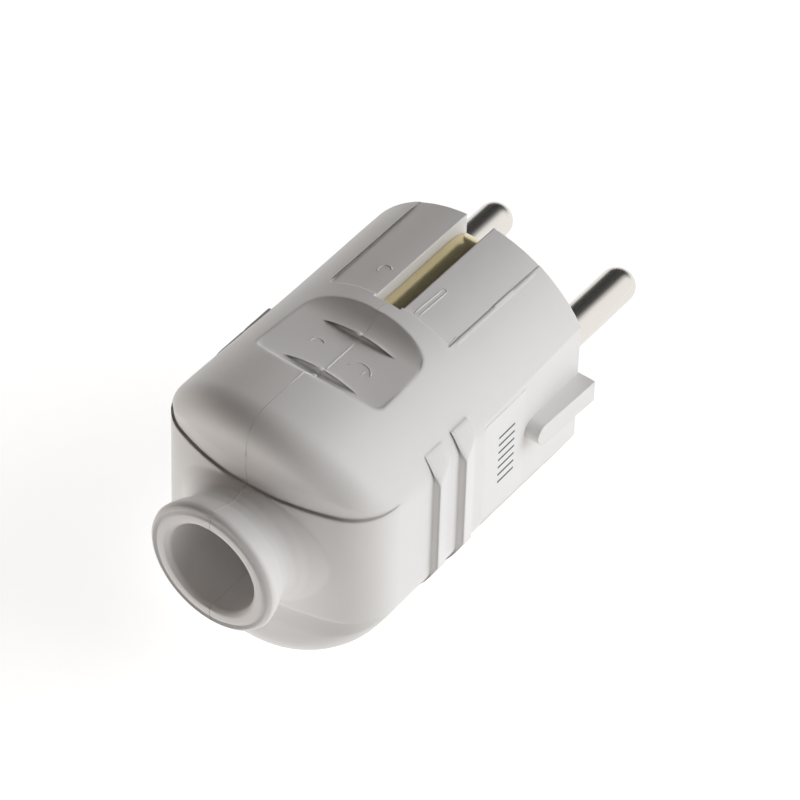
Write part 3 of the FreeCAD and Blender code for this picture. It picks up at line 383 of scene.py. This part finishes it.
# The pin carrier, pressed from a grey thermoset compound: matt, with a faint speckle of
# its mineral filler.
def pressed_thermoset():
    material, tree = new_material("pressed_thermoset_compound")
    place = add(tree, "ShaderNodeTexCoord").outputs["Object"]
    filler = add(tree, "ShaderNodeTexNoise", {"Scale": per_mm(0.4), "Detail": 4.0},
                 {"Vector": place})
    tint = add(tree, "ShaderNodeValToRGB", None, {"Fac": filler.outputs["Fac"]})
    tint.color_ramp.elements[0].color = linear("#B5B0A6")
    tint.color_ramp.elements[1].color = linear("#C6C1B7")
    shader = add(tree, "ShaderNodeBsdfPrincipled", {"Roughness": 0.6},
                 {"Base Color": tint.outputs["Color"]})
    finish_surface(tree, shader)
    return material


dress("pin_carrier", pressed_thermoset())


# Screws, nut, wire plate and cord clamp, turned or stamped from steel and zinc plated. The
# clear plating is bright but slightly cloudy.
def zinc_plated_steel():
    material, tree = new_material("zinc_plated_steel")
    place = add(tree, "ShaderNodeTexCoord").outputs["Object"]
    cloud = add(tree, "ShaderNodeTexNoise", {"Scale": per_mm(1.2), "Detail": 4.0},
                {"Vector": place})
    rough = add(tree, "ShaderNodeMapRange", {"To Min": 0.25, "To Max": 0.42},
                {"Value": cloud.outputs["Fac"]})
    shader = add(tree, "ShaderNodeBsdfPrincipled",
                 {"Base Color": linear("#C3C5C6"), "Metallic": 1.0},
                 {"Roughness": rough.outputs["Result"]})
    finish_surface(tree, shader)
    return material


zinc = zinc_plated_steel()
for part in ("line_terminal_screw", "neutral_terminal_screw", "earth_nut", "earth_wire_plate",
             "earth_terminal_screw", "cord_clamp_bar", "cord_clamp_screw_upper",
             "cord_clamp_screw_lower", "housing_screw"):
    dress(part, zinc)


# The sticker on the right flat, a label of coated white paper, smooth but for a faint
# unevenness of its fibres, and glued on.
def coated_paper():
    material, tree = new_material("coated_white_paper")
    place = add(tree, "ShaderNodeTexCoord").outputs["Object"]
    fibre = add(tree, "ShaderNodeTexNoise", {"Scale": per_mm(0.3), "Detail": 3.0},
                {"Vector": place})
    lift = add(tree, "ShaderNodeBump", {"Strength": 0.1, "Distance": 0.01 * mm},
               {"Height": fibre.outputs["Fac"]})
    shader = add(tree, "ShaderNodeBsdfPrincipled",
                 {"Base Color": linear("#E8E8E8"), "Roughness": 0.5},
                 {"Normal": lift.outputs["Normal"]})
    finish_surface(tree, shader)
    return material


sticker = dress("side_sticker", coated_paper())


# Plain bars printed on the sticker, one row, in dark grey thermal print. The printer's dots
# leave the grey a little uneven.
def thermal_print():
    material, tree = new_material("thermal_print_on_paper")
    place = add(tree, "ShaderNodeTexCoord").outputs["Object"]
    dots = add(tree, "ShaderNodeTexNoise", {"Scale": per_mm(0.2), "Detail": 2.0},
               {"Vector": place})
    tint = add(tree, "ShaderNodeValToRGB", None, {"Fac": dots.outputs["Fac"]})
    tint.color_ramp.elements[0].color = linear("#3C3E44")
    tint.color_ramp.elements[1].color = linear("#6B6E75")
    shader = add(tree, "ShaderNodeBsdfPrincipled", {"Roughness": 0.6},
                 {"Base Color": tint.outputs["Color"]})
    finish_surface(tree, shader)
    return material


bar_count = 7
bar_pitch = 1.27
top_bar = 3.8
bars_y = -15.3
bar_size = Matrix.Diagonal((0.03 * mm, 3.3 * mm, 0.32 * mm, 1))
paper = BVHTree.FromObject(sticker, bpy.context.evaluated_depsgraph_get())
bars = bmesh.new()
for row in range(bar_count):
    sight = Vector((30 * mm, bars_y * mm, (top_bar - bar_pitch * row) * mm))
    centre, facing = paper.ray_cast(sight, Vector((-1, 0, 0)))[:2]
    lie = facing.to_track_quat("X", "Z").to_matrix().to_4x4()
    bmesh.ops.create_cube(bars, size=1, matrix=Matrix.Translation(centre) @ lie @ bar_size)
bmesh.ops.bevel(bars, geom=list(bars.edges), offset=0.008 * mm, segments=2, affect="EDGES",
                profile=0.5, material=-1)
new_piece("sticker_bars", bars, thermal_print())


# Light table that the plug lies on: a translucent white sheet, lit softly from below. To the
# camera and to gloss it is white, it keeps the plug's shadow, and from below it is clear.
def translucent_sheet():
    material, tree = new_material("translucent_white_sheet")
    ray = add(tree, "ShaderNodeLightPath").outputs
    underside = add(tree, "ShaderNodeNewGeometry").outputs["Backfacing"]
    board = add(tree, "ShaderNodeBsdfDiffuse", {"Color": linear("#CFCFCF")})
    glow = add(tree, "ShaderNodeEmission", {"Color": linear("#FFFFFF"), "Strength": 0.78})
    lit = add(tree, "ShaderNodeAddShader", None, {0: board.outputs[0], 1: glow.outputs[0]})
    white = add(tree, "ShaderNodeEmission", {"Color": linear("#FFFFFF"), "Strength": 1.0})
    seen = add(tree, "ShaderNodeMixShader", None,
               {0: ray["Is Glossy Ray"], 1: lit.outputs[0], 2: white.outputs[0]})
    through = add(tree, "ShaderNodeBsdfTransparent", {"Color": linear("#FFFFFF")})
    by_light = add(tree, "ShaderNodeMath", {"operation": "MAXIMUM"},
                   {0: ray["Is Diffuse Ray"], 1: ray["Is Shadow Ray"]})
    clear = add(tree, "ShaderNodeMath", {"operation": "MAXIMUM"},
                {0: by_light.outputs[0], 1: underside})
    sheet = add(tree, "ShaderNodeMixShader", None,
                {0: clear.outputs[0], 1: seen.outputs[0], 2: through.outputs[0]})
    finish_surface(tree, sheet)
    return material


half_sheet = 1.5
plug_underside = cad_box[0][2]
floor_mesh = bmesh.new()
bmesh.ops.create_grid(floor_mesh, x_segments=1, y_segments=1, size=half_sheet)
bmesh.ops.translate(floor_mesh, verts=floor_mesh.verts, vec=(0, 0, plug_underside))
floor_data = bpy.data.meshes.new("floor")
floor_mesh.to_mesh(floor_data)
floor_mesh.free()
floor_data.materials.append(translucent_sheet())
floor = bpy.data.objects.new("floor", floor_data)
bpy.context.scene.collection.objects.link(floor)


# The studio room. It is white to the camera. What the metal mirrors is white to the right and
# near the horizon and dark elsewhere, and the light it gives is dim and warm.
world = bpy.data.worlds.new("studio_room")
world.use_nodes = True
bpy.context.scene.world = world
room = world.node_tree
room.nodes.clear()
ray = add(room, "ShaderNodeLightPath").outputs
heading = add(room, "ShaderNodeTexCoord").outputs["Generated"]
toward = add(room, "ShaderNodeSeparateXYZ", None, {"Vector": heading}).outputs
horizon = add(room, "ShaderNodeMapRange",
              {"From Min": 0.02, "From Max": 0.16, "To Min": 1.0, "To Max": 0.0},
              {"Value": toward["Z"]})
right_wall = add(room, "ShaderNodeMapRange", {"From Min": 0.05, "From Max": 0.45},
                 {"Value": toward["X"]})
pale = add(room, "ShaderNodeMath", {"operation": "MAXIMUM"},
           {0: horizon.outputs["Result"], 1: right_wall.outputs["Result"]})
dusk = add(room, "ShaderNodeMapRange", {"To Min": 0.05, "To Max": 1.0},
           {"Value": pale.outputs[0]})
dim = add(room, "ShaderNodeBackground", {"Color": linear("#FFE9D2"), "Strength": 0.09})
mirrored = add(room, "ShaderNodeBackground", {"Color": linear("#FFFFFF")},
               {"Strength": dusk.outputs[0]})
white = add(room, "ShaderNodeBackground", {"Color": linear("#FFFFFF"), "Strength": 1.0})
gloss = add(room, "ShaderNodeMath", {"operation": "MAXIMUM"},
            {0: ray["Is Glossy Ray"], 1: ray["Is Transmission Ray"]})
by_gloss = add(room, "ShaderNodeMixShader", None,
               {0: gloss.outputs[0], 1: dim.outputs[0], 2: mirrored.outputs[0]})
by_camera = add(room, "ShaderNodeMixShader", None,
                {0: ray["Is Camera Ray"], 1: by_gloss.outputs[0], 2: white.outputs[0]})
add(room, "ShaderNodeOutputWorld", None, {"Surface": by_camera.outputs[0]})


# Studio lamps: a large soft box on the right with a small one over it, weak ones on the left,
# low beside the collar on the left and low under it, and the lamp under the light table.
plug_middle = Vector((0, -20 * mm, 0))


def soft_box(name, place, power, width, depth, colour="#FFFFFF"):
    """An area lamp that faces the middle of the plug; gloss shows the room in its place."""
    data = bpy.data.lights.new(name, "AREA")
    data.shape = "RECTANGLE"
    data.size = width
    data.size_y = depth
    data.energy = power
    data.color = linear(colour)[:3]
    lamp = bpy.data.objects.new(name, data)
    lamp.location = place
    aim = plug_middle - Vector(place)
    lamp.rotation_euler = aim.to_track_quat("-Z", "Y").to_euler()
    lamp.visible_glossy = False
    bpy.context.scene.collection.objects.link(lamp)


cool_white, warm_white = "#F2F7FF", "#FFF6EC"
soft_box("right_box", (0.76, 0.47, 0.43), 7.6, 0.9, 0.9)
soft_box("upper_box", (0.5, 0.2, 0.84), 1.2, 0.5, 0.5, cool_white)
soft_box("left_box", (-0.86, 0.46, 0.13), 2.3, 0.5, 0.3)
soft_box("back_box", (-0.75, -0.5, -0.43), 2.5, 0.5, 0.3, warm_white)
soft_box("low_box", (0.3, -0.68, -0.67), 0.7, 0.6, 0.4, warm_white)
soft_box("table_light", (0, -20 * mm, -0.15), 7.2, 1.6, 1.6)


# Camera at the photograph's viewing angle: a long lens that looks down at the collar end
# from the right, tilted a little.
azimuth = math.radians(35.91)
elevation = math.radians(45.21)
roll = math.radians(1.87)
camera_data = bpy.data.cameras.new("camera")
camera_data.sensor_width = 36.0
camera_data.lens = 263.5
camera_data.clip_start = 0.01
camera = bpy.data.objects.new("camera", camera_data)
turn = (Matrix.Rotation(azimuth, 3, "Z") @ Matrix.Rotation(math.pi / 2 - elevation, 3, "X")
        @ Matrix.Rotation(roll, 3, "Z"))
camera.rotation_euler = turn.to_euler()
camera.location = (0.295474, -0.423467, 0.506628)
bpy.context.scene.collection.objects.link(camera)
bpy.context.scene.camera = camera
bpy.context.scene.view_settings.view_transform = "Standard"
